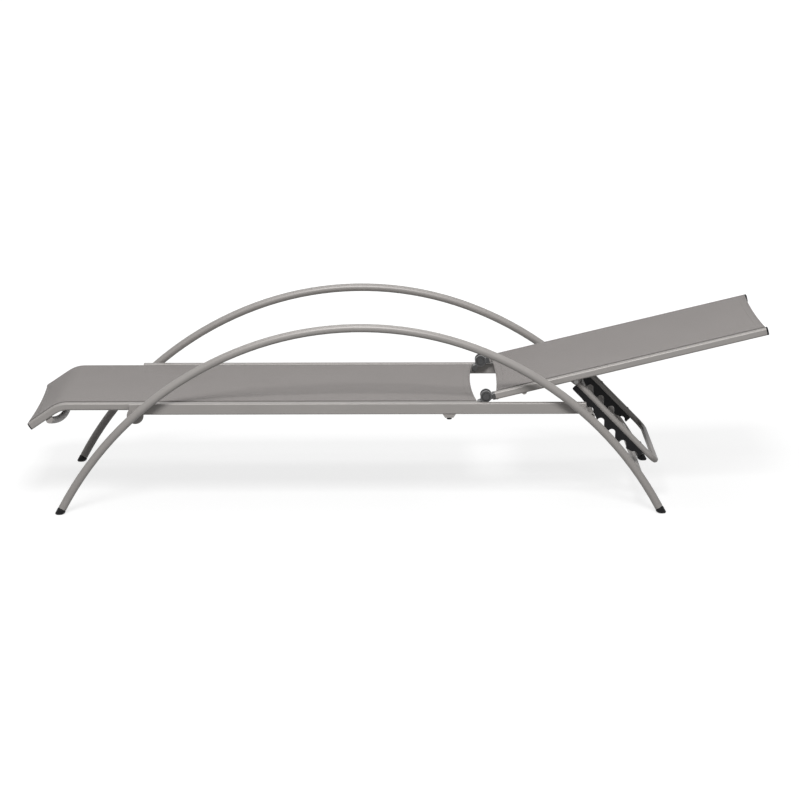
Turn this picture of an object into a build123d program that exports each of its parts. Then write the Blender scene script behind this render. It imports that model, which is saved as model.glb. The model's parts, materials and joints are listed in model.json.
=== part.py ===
"""Sun lounger with two sling panels, a reclining back and a toothed prop.

The side view is drawn on planes whose origin is on the floor, halfway between the feet of
the side arches. X runs to the head end, Z up, and the left side is at negative Y.
A distance called "out" is measured sideways from the middle of the lounger.
"""
import os
from math import asin, atan2, cos, degrees, hypot, radians, sin, sqrt

from build123d import *

# side arches
arch_tube_d = 22.0
arch_wall = 1.6
arch_gauge = 600.0        # between the two tube centres
arch_rise = 506.0         # floor to the tube centre at the crown
crown_r = 861.0
crown_half = 300.0        # from the middle to where the side arcs begin
side_r = 933.0

# feet
foot_d = 23.0
foot_height = 16.0        # floor to the end of the tube's centre line
foot_edge = 3.5

# side beams
beam_w = 20.0
beam_h = 30.0
beam_wall = 2.0
beam_corner_r = 3.0
beam_gap = 19.0           # from the beams to the arches
beam_z = 280.0
beam_past_front = 20.0    # past the front bracket's middle
beam_catch_gap = 5.1      # from the beams' rear ends to the catch bar
plug_inset = 1.0
plug_depth = 14.0
plug_clearance = 0.2

# sling rails, seat and back alike
rail_w = 24.0
rail_h = 20.0
rail_corner_r = 5.0
rail_wall = 1.8
channel_d = 7.0
channel_in = 4.0          # channel centre, inwards from the middle of the rail
slot_w = 2.8
rail_up = 3.0             # seat rails over the beams' centre line
seat_rear_x = 312.0
drop_x = -805.0           # where the foot end starts to drop
drop_length = 99.0
drop_angle = 34.0
drop_bend_r = 70.0
tip_cap = 3.5
head_cap = 5.0
cap_edge = 1.0

# slings
sling_t = 1.4
sling_lift = 0.3          # between a rail's top and the cloth
hem_d = 5.8
keder_d = 3.6
keder_clearance = 0.1
sling_rear_gap = 1.0      # from the seat rails' rear ends
sling_cap_gap = 0.5       # between a sling's corner and the rail's cap
seat_scoop = 10.5
foot_scoop = 6.0
back_scoop = 6.0
head_scoop = 4.0

# cross tubes
bow_d = 19.0
bow_wall = 1.5
bow_overlap = 5.0         # of a bow's end under the rail's or beam's lower side
foot_bow_along = 44.0     # from the start of the drop, along it
foot_bow_sag = 36.0
mid_bow_x = 237.0
mid_bow_sag = 22.0
back_bow_d = 14.0
back_bow_along = 102.0
back_bow_sag = 22.0
head_bow_d = 16.0
head_bow_in = 81.0        # from the back's head end
head_bow_sag = 20.0
cross_d = 18.0
cross_wall = 1.5
cross_drop = 26.0         # centre of the front tube under the beams' centre line
stretcher_z = 104.0
weld_reach = 5.0          # of a butted tube's end past the arch tube's inner side

# front brackets, rear spacers and stacking lugs
bracket_w = 39.0
bracket_t = 5.0
bracket_top_gap = 2.0
bracket_round_d = 45.0
bracket_round_drop = 16.0 # centre of its round end under the beams' centre line
bracket_round_shift = 3.0 # of that centre towards the foot end
spacer_d = 20.0
front_spacer_up = -8.1    # from the beams' centre line
rear_spacer_up = -1.8
lug_top = 35.0
lug_bottom = 22.0
lug_h = 9.5
pad_d = 14.0
pad_h = 5.5

# hinges
hinge_ahead = 24.0        # hinge axis past the seat rails' rear ends
hinge_up = 25.5           # hinge axis over the seat rails' centre line
hinge_r = 15.4
eye_r = 13.0
root_dx = -16.0           # the round root of the bracket, from the hinge axis
root_dz = -20.0
root_r = 7.5
root_arm_w = 8.0
cheek_t = 6.5
cheek_gap = 0.4
hinge_w = 33.0            # over both cheeks
pin_d = 8.0
pin_running_fit = 0.06
pin_cap_d = 20.0
pin_cap_t = 2.5
shoulder_start = 16.6
arm_h = 15.0

# back
back_angle = 13.5         # as photographed, in the lowest notch
back_length = 771.9       # hinge axis to the end of the rails
back_rail_start = 25.0
back_rail_drop = 4.3      # rail centre line under the hinge axis
back_sling_gap = 5.0      # from the back rails' front ends

# prop and racks
prop_drop = 22.0          # pivot, under the hinge axis square to the back
prop_tilt = -45.7         # of the prop, from level
prop_tube_d = 16.0
prop_wall = 1.5
prop_in = 14.0            # tube centre inwards from the rails
prop_past_rack = 44.0
prop_end = 9.0
prop_bend_r = 32.0
ear_t = 4.0
ear_w = 34.0
ear_r = 9.0
ear_weld = 6.0
prop_pin_head_d = 12.0
prop_pin_head_t = 2.8
prop_pin_play = 0.6
rack_t = 8.0
rack_start = 9.5
rack_past = 14.0          # past the last notch
rack_root = 3.0           # top of the rack, from the tube's centre line
rack_plain = 22.0         # depth of the plain stretch, from the tube's centre line
rack_tip = 24.0           # depth of the tips at both ends
tooth_tip = 35.0          # depth of the middle teeth's tips
tip_lead = 7.0            # from the first notch to where the tips get deeper
tip_trail = 4.7           # from there to the last notch
tip_slope = 31.0
rack_rise = 14.0          # length of the slope from plain to toothed
rack_lead = 24.7          # from that slope to the first notch
rack_corner_r = 3.0
tooth_tip_r = 1.5
notch_count = 5
notch_first = 84.7
notch_pitch = 43.0
notch_depth = 29.0        # catch bar's centre, from the tube's centre line
notch_r = 9.8
notch_lean = 45.7
catch_d = 16.0
catch_offset = 5.44       # bar's centre outside the arches' centre line

overrun = 60.0            # of every cut past what it cuts

os.makedirs("parts", exist_ok=True)

# places that follow from the sizes above
half_gauge = arch_gauge / 2
arch_r = arch_tube_d / 2
arch_inner_out = half_gauge - arch_r
crown_angle = degrees(asin(crown_half / crown_r))
crown_z = arch_rise - crown_r
side_cx = (crown_r - side_r) * sin(radians(crown_angle))
side_cz = crown_z + (crown_r - side_r) * cos(radians(crown_angle))
beam_outer_out = arch_inner_out - beam_gap
beam_inner_out = beam_outer_out - beam_w
beam_out = beam_inner_out + beam_w / 2
rail_outer_out = beam_inner_out
rail_out = rail_outer_out - rail_w / 2
rail_inner_out = rail_outer_out - rail_w
channel_out = rail_out - channel_in
channel_up = rail_h / 2 - rail_wall - channel_d / 2
seat_rail_z = beam_z + rail_up
seat_sling_rear_x = seat_rear_x - sling_rear_gap
hinge_x = seat_rear_x + hinge_ahead
hinge_z = seat_rail_z + hinge_up
hinge_out = beam_inner_out - hinge_w
hinge_inner_out = hinge_out + cheek_t
hinge_outer_out = beam_inner_out - cheek_t
slope_x, slope_z = -cos(radians(drop_angle)), -sin(radians(drop_angle))
recline_x, recline_z = cos(radians(back_angle)), sin(radians(back_angle))
tip_x = drop_x + drop_length * slope_x + rail_h / 2 * slope_z
head_x = hinge_x + back_length * recline_x + (back_rail_drop + rail_h / 2) * recline_z
mid_x = -(tip_x + head_x) / 2
back_sling_start = back_rail_start + back_sling_gap
head_bow_along = back_length - head_bow_in

# the prop's pivot is as far along the back as brings the catch bar to the arches
prop_x, prop_z = cos(radians(prop_tilt)), sin(radians(prop_tilt))
start_x = hinge_x + prop_drop * recline_z + notch_first * prop_x + notch_depth * prop_z - side_cx
start_z = hinge_z - prop_drop * recline_x + notch_first * prop_z - notch_depth * prop_x - side_cz
shortfall = (side_r + catch_offset) ** 2 - start_x**2 - start_z**2
lead = start_x * recline_x + start_z * recline_z
prop_along = sqrt(lead**2 + shortfall) - lead
prop_out = rail_inner_out - prop_in
rack_rise_end = notch_first - rack_lead
rack_rise_start = rack_rise_end - rack_rise
notch_last = notch_first + (notch_count - 1) * notch_pitch
rack_end = notch_last + rack_past
prop_length = rack_end + prop_past_rack

side = Plane(origin=(mid_x, 0, 0), x_dir=(1, 0, 0), z_dir=(0, -1, 0))
back_side = Plane(origin=(mid_x + hinge_x, 0, hinge_z), x_dir=(recline_x, 0, recline_z), z_dir=(0, -1, 0))
prop_pivot = back_side.from_local_coords(Vector(prop_along, -prop_drop, 0))
prop_dir = (prop_x, 0, prop_z)
prop_side = Plane(origin=prop_pivot, x_dir=prop_dir, z_dir=(0, -1, 0))
prop_flat = Plane(origin=prop_pivot, x_dir=prop_dir, z_dir=(-prop_dir[2], 0, prop_dir[0]))
catch_at = prop_side.from_local_coords(Vector(notch_first, -notch_depth, 0))


def arch_x(z):
    """distance from the middle of the arch tube's centre, at a height on the rear half"""
    return side_cx + sqrt(side_r**2 - (z - side_cz) ** 2)


def foot_angle(z):
    """angle on the side arc where its centre line has this height"""
    return degrees(asin((z - side_cz) / side_r))


# places where the arches pass the beams
front_spacer_z = beam_z + front_spacer_up
rear_spacer_z = beam_z + rear_spacer_up
bracket_x = -arch_x(front_spacer_z)
rear_spacer_x = arch_x(rear_spacer_z)
beam_front_x = bracket_x - beam_past_front
beam_rear_x = catch_at.X - mid_x - catch_d / 2 - beam_catch_gap


def across(x, out, z):
    """plane across the lounger that faces the foot end, its x axis outwards and y up"""
    return Plane(origin=(mid_x + x, -out, z), x_dir=(0, -1, 0), z_dir=(-1, 0, 0))


def across_back(along, out, up):
    """plane across the back that faces the hinge, its x axis outwards and y up"""
    spot = back_side.from_local_coords(Vector(along, up, out))
    return Plane(origin=spot, x_dir=(0, -1, 0), z_dir=(-recline_x, 0, -recline_z))


def save(piece, name):
    """label one piece and write its file"""
    piece.part.label = name
    export_step(piece.part, f"parts/{name}.step")


def save_pair(piece, name):
    """write a left piece and its mirror image on the right"""
    save(piece, f"{name}_left")
    with BuildPart() as twin:
        mirror(piece.part, about=Plane.XZ)
    save(twin, f"{name}_right")


def ring(outer_d, wall):
    """section of a round tube"""
    Circle(outer_d / 2)
    Circle(outer_d / 2 - wall, mode=Mode.SUBTRACT)


def rail_outline():
    """outer outline of a sling rail"""
    RectangleRounded(rail_w, rail_h, rail_corner_r)


def rail_chamber(clearance=0.0, mode=Mode.ADD):
    """the outer one of the rail's two chambers"""
    width = rail_w / 2 - rail_wall
    with Locations((rail_w / 2 - rail_wall - width / 2, 0)):
        Rectangle(width - clearance, rail_h - 2 * rail_wall - clearance, mode=mode)


def rail_section():
    """sling rail: a chamber outside, one under the channel, and the slotted channel"""
    rail_outline()
    rail_chamber(mode=Mode.SUBTRACT)
    low_w = rail_w / 2 - 2 * rail_wall
    low_h = rail_h - channel_d - 4 * rail_wall
    with Locations((-rail_w / 2 + rail_wall + low_w / 2, -rail_h / 2 + rail_wall + low_h / 2)):
        Rectangle(low_w, low_h, mode=Mode.SUBTRACT)
    with Locations((-channel_in, channel_up)):
        Circle(channel_d / 2, mode=Mode.SUBTRACT)
        Rectangle(slot_w, rail_h, align=(Align.CENTER, Align.MIN), mode=Mode.SUBTRACT)


def sling_section():
    """cloth from channel to channel, with its hems round the keder cords"""
    top = rail_h / 2 + sling_lift
    with Locations((0, top)):
        Rectangle(2 * channel_out + sling_t, sling_t, align=(Align.CENTER, Align.MIN))
    with Locations((-channel_out, channel_up), (channel_out, channel_up)):
        Rectangle(sling_t, top - channel_up + sling_t, align=(Align.CENTER, Align.MIN))
        Circle(hem_d / 2)
        Circle(keder_d / 2, mode=Mode.SUBTRACT)


def scoop(place, half, depth):
    """cutter for the hollow curve of a sling's end, x pointing out of the cloth"""
    with BuildPart() as cutter:
        with BuildSketch(place):
            with BuildLine():
                ThreePointArc((0, -half), (-depth, 0), (0, half))
                Polyline((0, half), (overrun, half), (overrun, -half), (0, -half))
            make_face()
        extrude(amount=rail_h, both=True)
    return cutter.part


def bow(place, half, sag, outer_d):
    """tube bent down in one arc and closed at its ends, x across the lounger and y up"""
    with BuildPart() as tube:
        with BuildLine(place) as run:
            ThreePointArc((-half, 0), (0, -sag), (half, 0))
        with BuildSketch(Plane(origin=run.line @ 0, z_dir=run.line % 0)):
            ring(outer_d, bow_wall)
        sweep()
        for end, inwards in ((0, 1), (1, -1)):
            with BuildSketch(Plane(origin=run.line @ end, z_dir=run.line % end)):
                Circle((outer_d - bow_wall) / 2)
            extrude(amount=inwards * bow_wall)
    return tube.part


# solid cores that pieces welded to a tube, rail or beam are cut back to
with BuildPart() as arch_core:
    with BuildLine(side.offset(half_gauge)) as arch_run:
        rear = CenterArc((side_cx, side_cz), side_r, foot_angle(0), 90 - crown_angle - foot_angle(0))
        CenterArc((0, crown_z), crown_r, 90 - crown_angle, 2 * crown_angle)
        CenterArc((-side_cx, side_cz), side_r, 90 + crown_angle, 90 - crown_angle - foot_angle(0))
    with BuildSketch(Plane(origin=rear @ 0, z_dir=rear % 0)):
        Circle(arch_r)
    sweep()

with BuildPart() as seat_rail_core:
    with BuildLine(side.offset(rail_out)) as seat_run:
        FilletPolyline(
            (seat_rear_x, seat_rail_z),
            (drop_x, seat_rail_z),
            (drop_x + drop_length * slope_x, seat_rail_z + drop_length * slope_z),
            radius=drop_bend_r,
        )
    with BuildSketch(across(seat_rear_x, rail_out, seat_rail_z)):
        rail_outline()
    sweep()

with BuildPart() as back_rail_core:
    with BuildSketch(across_back(back_length, rail_out, -back_rail_drop)):
        rail_outline()
    extrude(amount=back_length - back_rail_start)

with BuildPart() as prop_core:
    with BuildSketch(Plane(origin=prop_side.from_local_coords(Vector(0, 0, prop_out)), z_dir=prop_dir)):
        Circle(prop_tube_d / 2)
    extrude(amount=prop_length - prop_bend_r)


# side arches, hollow, open into the feet
end_angle = foot_angle(foot_height)
with BuildPart() as arch:
    with BuildLine(side.offset(half_gauge)):
        rear = CenterArc((side_cx, side_cz), side_r, end_angle, 90 - crown_angle - end_angle)
        CenterArc((0, crown_z), crown_r, 90 - crown_angle, 2 * crown_angle)
        CenterArc((-side_cx, side_cz), side_r, 90 + crown_angle, 90 - crown_angle - end_angle)
    tube_end = Plane(origin=rear @ 0, z_dir=rear % 0)
    with BuildSketch(tube_end):
        ring(arch_tube_d, arch_wall)
    sweep()
save_pair(arch, "arch")

# moulded feet: a cap under the end of each tube, flat on the floor, with a plug inside the tube
with BuildPart() as foot_rear:
    with BuildSketch(tube_end):
        Circle(foot_d / 2)
    extrude(amount=-overrun)
    split(bisect_by=Plane.XY, keep=Keep.TOP)
    chamfer(foot_rear.faces().sort_by(Axis.Z)[0].edges(), foot_edge)
    with BuildSketch(tube_end):
        Circle(arch_r - arch_wall - plug_clearance)
    extrude(amount=plug_depth)
save_pair(foot_rear, "foot_rear")
with BuildPart() as foot_front:
    mirror(foot_rear.part, about=Plane.YZ.offset(mid_x))
save_pair(foot_front, "foot_front")

# side beams and their plugs
beam_length = beam_rear_x - beam_front_x
with BuildPart() as beam:
    with BuildSketch(across(beam_rear_x, beam_out, beam_z)):
        RectangleRounded(beam_w, beam_h, beam_corner_r)
        RectangleRounded(beam_w - 2 * beam_wall, beam_h - 2 * beam_wall, beam_corner_r - beam_wall / 2,
                         mode=Mode.SUBTRACT)
    extrude(amount=beam_length)
save_pair(beam, "side_beam")

for end, x, step in (("front", beam_front_x, 1), ("rear", beam_rear_x, -1)):
    with BuildPart() as beam_plug:
        with BuildSketch(across(x + step * plug_inset, beam_out, beam_z)):
            gap = 2 * (beam_wall + plug_clearance)
            RectangleRounded(beam_w - gap, beam_h - gap, beam_corner_r - beam_wall / 2)
        extrude(amount=-step * plug_depth)
    save_pair(beam_plug, f"beam_plug_{end}")

# sling rails of the seat, dropping at the foot end, and their end caps
with BuildPart() as seat_rail:
    with BuildLine(side.offset(rail_out)) as seat_run:
        FilletPolyline(
            (seat_rear_x, seat_rail_z),
            (drop_x, seat_rail_z),
            (drop_x + (drop_length - tip_cap) * slope_x, seat_rail_z + (drop_length - tip_cap) * slope_z),
            radius=drop_bend_r,
        )
    with BuildSketch(across(seat_rear_x, rail_out, seat_rail_z)):
        rail_section()
    sweep()
save_pair(seat_rail, "seat_rail")

drop_end = drop_length - tip_cap
tip_face = Plane(
    origin=(mid_x + drop_x + drop_end * slope_x, -rail_out, seat_rail_z + drop_end * slope_z),
    x_dir=(0, -1, 0),
    z_dir=(slope_x, 0, slope_z),
)
with BuildPart() as tip_plug:
    with BuildSketch(tip_face):
        rail_outline()
    extrude(amount=tip_cap)
    chamfer(tip_plug.faces().sort_by(Axis(tip_face.origin, tip_face.z_dir))[-1].edges(), cap_edge)
    with BuildSketch(tip_face):
        rail_chamber(2 * plug_clearance)
    extrude(amount=-plug_depth)
save_pair(tip_plug, "seat_rail_cap")

# front bracket: a round-ended plate on the beam, with a spacer up to the arch
bracket_top = beam_z + beam_h / 2 - bracket_top_gap
bracket_round_z = beam_z - bracket_round_drop
with BuildPart() as front_bracket:
    with BuildSketch(side.offset(beam_outer_out)):
        with Locations((bracket_x - bracket_round_shift, bracket_round_z)):
            Circle(bracket_round_d / 2)
        with Locations((bracket_x, bracket_round_z)):
            Rectangle(bracket_w, bracket_top - bracket_round_z, align=(Align.CENTER, Align.MIN))
    extrude(amount=bracket_t)
    with BuildSketch(side.offset(beam_outer_out)):
        with Locations((bracket_x, front_spacer_z)):
            Circle(spacer_d / 2)
    extrude(amount=arch_inner_out + weld_reach - beam_outer_out)
    add(arch_core.part, mode=Mode.SUBTRACT)
save_pair(front_bracket, "front_bracket")

with BuildPart() as rear_spacer:
    with BuildSketch(side.offset(beam_outer_out)):
        with Locations((rear_spacer_x, rear_spacer_z)):
            Circle(spacer_d / 2)
    extrude(amount=arch_inner_out + weld_reach - beam_outer_out)
    add(arch_core.part, mode=Mode.SUBTRACT)
save_pair(rear_spacer, "rear_spacer")

# straight cross tubes
with BuildPart() as front_cross:
    with BuildSketch(side):
        with Locations((bracket_x, beam_z - cross_drop)):
            ring(cross_d, cross_wall)
    extrude(amount=beam_outer_out, both=True)
save(front_cross, "front_cross_tube")

with BuildPart() as stretcher:
    with BuildSketch(side):
        with Locations((arch_x(stretcher_z), stretcher_z)):
            ring(cross_d, cross_wall)
    extrude(amount=arch_inner_out + weld_reach, both=True)
    add(arch_core.part, mode=Mode.SUBTRACT)
    mirror(arch_core.part, about=Plane.XZ, mode=Mode.SUBTRACT)
save(stretcher, "rear_stretcher")

with BuildPart() as catch_bar:
    with BuildSketch(Plane(origin=catch_at, x_dir=(1, 0, 0), z_dir=(0, -1, 0))):
        ring(catch_d, cross_wall)
    extrude(amount=arch_inner_out + weld_reach / 2, both=True)
    add(arch_core.part, mode=Mode.SUBTRACT)
    mirror(arch_core.part, about=Plane.XZ, mode=Mode.SUBTRACT)
save(catch_bar, "catch_bar")

# bowed cross tubes of the seat
foot_bow_spot = (
    mid_x + drop_x + foot_bow_along * slope_x - (rail_h / 2 + bow_d / 2 - bow_overlap) * slope_z,
    0,
    seat_rail_z + foot_bow_along * slope_z + (rail_h / 2 + bow_d / 2 - bow_overlap) * slope_x,
)
with BuildPart() as foot_bow:
    add(bow(Plane(origin=foot_bow_spot, x_dir=(0, -1, 0), z_dir=(slope_x, 0, slope_z)),
            rail_outer_out - bow_overlap, foot_bow_sag, bow_d))
    add(seat_rail_core.part, mode=Mode.SUBTRACT)
    mirror(seat_rail_core.part, about=Plane.XZ, mode=Mode.SUBTRACT)
save(foot_bow, "foot_bow")

beam_bottom = beam_z - beam_h / 2
with BuildPart() as lug:
    with BuildSketch(side.offset(beam_inner_out)):
        with BuildLine():
            Polyline(
                (mid_bow_x - lug_top / 2, beam_bottom),
                (mid_bow_x + lug_top / 2, beam_bottom),
                (mid_bow_x + lug_bottom / 2, beam_bottom - lug_h),
                (mid_bow_x - lug_bottom / 2, beam_bottom - lug_h),
                close=True,
            )
        make_face()
    extrude(amount=beam_w)
save_pair(lug, "mid_lug")

with BuildPart() as pad:
    with BuildSketch(Plane(origin=(mid_x + mid_bow_x, -beam_out, beam_bottom - lug_h), z_dir=(0, 0, -1))):
        Circle(pad_d / 2)
    extrude(amount=pad_h)
    chamfer(pad.faces().sort_by(Axis.Z)[0].edges(), cap_edge)
save_pair(pad, "mid_pad")

with BuildPart() as mid_bow:
    add(bow(across(mid_bow_x, 0, beam_bottom - bow_d / 2 + bow_overlap), beam_out, mid_bow_sag, bow_d))
    split(bisect_by=Plane.XZ.offset(beam_inner_out), keep=Keep.BOTTOM)
    split(bisect_by=Plane.XZ.offset(-beam_inner_out), keep=Keep.TOP)
save(mid_bow, "mid_bow")

# seat sling and its keder cords
sling_drop = drop_length - tip_cap - sling_cap_gap
with BuildPart() as seat_sling:
    with BuildLine(side) as seat_cloth_run:
        FilletPolyline(
            (seat_sling_rear_x, seat_rail_z),
            (drop_x, seat_rail_z),
            (drop_x + sling_drop * slope_x, seat_rail_z + sling_drop * slope_z),
            radius=drop_bend_r,
        )
    with BuildSketch(across(seat_sling_rear_x, 0, seat_rail_z)):
        sling_section()
    sweep()
    add(scoop(Plane(origin=(mid_x + seat_sling_rear_x, 0, seat_rail_z), x_dir=(1, 0, 0), z_dir=(0, 0, 1)),
              rail_inner_out, seat_scoop), mode=Mode.SUBTRACT)
    sling_tip = (mid_x + drop_x + sling_drop * slope_x, 0, seat_rail_z + sling_drop * slope_z)
    add(scoop(Plane(origin=sling_tip, x_dir=(slope_x, 0, slope_z), z_dir=(slope_z, 0, -slope_x)),
              rail_inner_out, foot_scoop), mode=Mode.SUBTRACT)
save(seat_sling, "seat_sling")

with BuildPart() as seat_keder:
    with BuildLine(side.offset(channel_out)):
        FilletPolyline(
            (seat_sling_rear_x, seat_rail_z + channel_up),
            (drop_x + channel_up * (cos(radians(drop_angle)) - 1) / sin(radians(drop_angle)),
             seat_rail_z + channel_up),
            (drop_x + sling_drop * slope_x + channel_up * slope_z,
             seat_rail_z + sling_drop * slope_z - channel_up * slope_x),
            radius=drop_bend_r + channel_up,
        )
    with BuildSketch(across(seat_sling_rear_x, channel_out, seat_rail_z + channel_up)):
        Circle(keder_d / 2 - keder_clearance)
    sweep()
save_pair(seat_keder, "seat_keder")

# hinge brackets, inside the beams: two cheeks, a round root and a plug in the seat rail
root_x, root_z = hinge_x + root_dx, hinge_z + root_dz
root_turn = degrees(atan2(root_dz, root_dx))
with BuildPart() as hinge_bracket:
    for cheek_out in (hinge_out, hinge_outer_out):
        with BuildSketch(side.offset(cheek_out)):
            with Locations((hinge_x, hinge_z)):
                Circle(hinge_r)
                Rectangle(hypot(root_dx, root_dz), root_arm_w, rotation=root_turn,
                          align=(Align.MIN, Align.CENTER))
            with Locations((root_x, root_z)):
                Circle(root_r)
        extrude(amount=cheek_t)
    with BuildSketch(side.offset(hinge_out)):
        with Locations((root_x, root_z)):
            Circle(root_r)
    extrude(amount=beam_inner_out - hinge_out)
    with BuildSketch(across(root_x, rail_out, seat_rail_z)):
        rail_chamber(2 * plug_clearance)
    extrude(amount=root_x - seat_rear_x + plug_depth)
    with BuildSketch(side.offset(hinge_out)):
        with Locations((hinge_x, hinge_z)):
            Circle(pin_d / 2)
    extrude(amount=beam_inner_out - hinge_out, mode=Mode.SUBTRACT)
save_pair(hinge_bracket, "hinge_bracket")

with BuildPart() as hinge_pin:
    with BuildSketch(side.offset(hinge_out)):
        with Locations((hinge_x, hinge_z)):
            Circle(pin_d / 2)
    extrude(amount=beam_inner_out - hinge_out)
save_pair(hinge_pin, "hinge_pin")

for face, cap_out, step in (("outer", beam_inner_out, 1), ("inner", hinge_out, -1)):
    with BuildPart() as hinge_cap:
        with BuildSketch(side.offset(cap_out)):
            with Locations((hinge_x, hinge_z)):
                Circle(pin_cap_d / 2)
        extrude(amount=step * pin_cap_t)
        outer_face = hinge_cap.faces().sort_by(Axis.Y)[0 if step > 0 else -1]
        chamfer(outer_face.edges(), cap_edge)
    save_pair(hinge_cap, f"hinge_cap_{face}")

# moving knuckles: an eye between the cheeks, a shoulder and a plug in the back rail
knuckle_w = hinge_outer_out - hinge_inner_out - 2 * cheek_gap
with BuildPart() as knuckle:
    with BuildSketch(back_side.offset(hinge_inner_out + cheek_gap)):
        Circle(eye_r)
        with Locations((0, -back_rail_drop)):
            Rectangle(back_rail_start, arm_h, align=(Align.MIN, Align.CENTER))
    extrude(amount=knuckle_w)
    with BuildSketch(across_back(back_rail_start, rail_out, -back_rail_drop)):
        rail_outline()
    extrude(amount=back_rail_start - shoulder_start)
    with BuildSketch(across_back(back_rail_start, rail_out, -back_rail_drop)):
        rail_chamber(2 * plug_clearance)
    extrude(amount=-plug_depth)
    with BuildSketch(back_side.offset(hinge_out)):
        Circle(pin_d / 2 + pin_running_fit)
    extrude(amount=beam_inner_out - hinge_out, mode=Mode.SUBTRACT)
save_pair(knuckle, "hinge_knuckle")

# back rails and their end caps
with BuildPart() as back_rail:
    with BuildSketch(across_back(back_length - head_cap, rail_out, -back_rail_drop)):
        rail_section()
    extrude(amount=back_length - head_cap - back_rail_start)
save_pair(back_rail, "back_rail")

head_face = across_back(back_length - head_cap, rail_out, -back_rail_drop)
with BuildPart() as head_plug:
    with BuildSketch(head_face):
        rail_outline()
    extrude(amount=-head_cap)
    chamfer(head_plug.faces().sort_by(Axis(head_face.origin, head_face.z_dir))[0].edges(), cap_edge)
    with BuildSketch(head_face):
        rail_chamber(2 * plug_clearance)
    extrude(amount=plug_depth)
save_pair(head_plug, "back_rail_cap")

# bowed cross tubes of the back: one under the rails, one between them
with BuildPart() as back_bow:
    add(bow(across_back(back_bow_along, 0, -back_rail_drop - rail_h / 2 + back_bow_d / 2 - bow_overlap),
            rail_outer_out - bow_overlap, back_bow_sag, back_bow_d))
    add(back_rail_core.part, mode=Mode.SUBTRACT)
    mirror(back_rail_core.part, about=Plane.XZ, mode=Mode.SUBTRACT)
save(back_bow, "back_bow")

with BuildPart() as head_bow:
    add(bow(across_back(head_bow_along, 0, -back_rail_drop), rail_out, head_bow_sag, head_bow_d))
    split(bisect_by=Plane.XZ.offset(rail_inner_out), keep=Keep.BOTTOM)
    split(bisect_by=Plane.XZ.offset(-rail_inner_out), keep=Keep.TOP)
save(head_bow, "head_bow")

# back sling and its keder cords
back_sling_end = back_length - head_cap - sling_cap_gap
with BuildPart() as back_sling:
    with BuildSketch(across_back(back_sling_end, 0, -back_rail_drop)):
        sling_section()
    extrude(amount=back_sling_end - back_sling_start)
    start_spot = back_side.from_local_coords(Vector(back_sling_start, -back_rail_drop, 0))
    end_spot = back_side.from_local_coords(Vector(back_sling_end, -back_rail_drop, 0))
    back_up = (-recline_z, 0, recline_x)
    add(scoop(Plane(origin=start_spot, x_dir=(-recline_x, 0, -recline_z), z_dir=back_up),
              rail_inner_out, back_scoop), mode=Mode.SUBTRACT)
    add(scoop(Plane(origin=end_spot, x_dir=(recline_x, 0, recline_z), z_dir=back_up),
              rail_inner_out, head_scoop), mode=Mode.SUBTRACT)
save(back_sling, "back_sling")

with BuildPart() as back_keder:
    with BuildSketch(across_back(back_sling_end, channel_out, channel_up - back_rail_drop)):
        Circle(keder_d / 2 - keder_clearance)
    extrude(amount=back_sling_end - back_sling_start)
save_pair(back_keder, "back_keder")

# ears under the back rails and the pins that carry the prop
with BuildPart() as ear:
    with BuildSketch(back_side.offset(rail_inner_out - ear_t)):
        with Locations((prop_along, -prop_drop)):
            Circle(ear_r)
        with Locations((prop_along, -back_rail_drop - rail_h / 2)):
            Rectangle(ear_w, ear_weld, align=(Align.CENTER, Align.MIN))
        make_hull()
    extrude(amount=ear_t)
    with BuildSketch(prop_side.offset(rail_inner_out - ear_t)):
        Circle(pin_d / 2)
    extrude(amount=ear_t, mode=Mode.SUBTRACT)
save_pair(ear, "prop_ear")

pin_inner_out = prop_out - prop_tube_d / 2 - prop_pin_play
with BuildPart() as prop_pin:
    with BuildSketch(prop_side.offset(pin_inner_out)):
        Circle(pin_d / 2)
    extrude(amount=rail_inner_out - pin_inner_out)
    with BuildSketch(prop_side.offset(pin_inner_out - prop_pin_head_t)):
        Circle(prop_pin_head_d / 2)
    extrude(amount=prop_pin_head_t)
    with BuildSketch(prop_side.offset(rail_inner_out)):
        Circle(prop_pin_head_d / 2)
    extrude(amount=prop_pin_head_t)
save_pair(prop_pin, "prop_pin")

# prop: one tube bent to a U, its open ends on the pins
with BuildPart() as prop:
    with BuildLine(prop_flat) as prop_run:
        FilletPolyline(
            (-prop_end, -prop_out), (prop_length, -prop_out), (prop_length, prop_out), (-prop_end, prop_out),
            radius=prop_bend_r,
        )
    with BuildSketch(Plane(origin=prop_run.line @ 0, z_dir=prop_dir)):
        ring(prop_tube_d, prop_wall)
    sweep()
    with BuildSketch(prop_side):
        Circle(pin_d / 2 + pin_running_fit)
    extrude(amount=prop_out + prop_tube_d, both=True, mode=Mode.SUBTRACT)
save(prop, "prop_frame")

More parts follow.
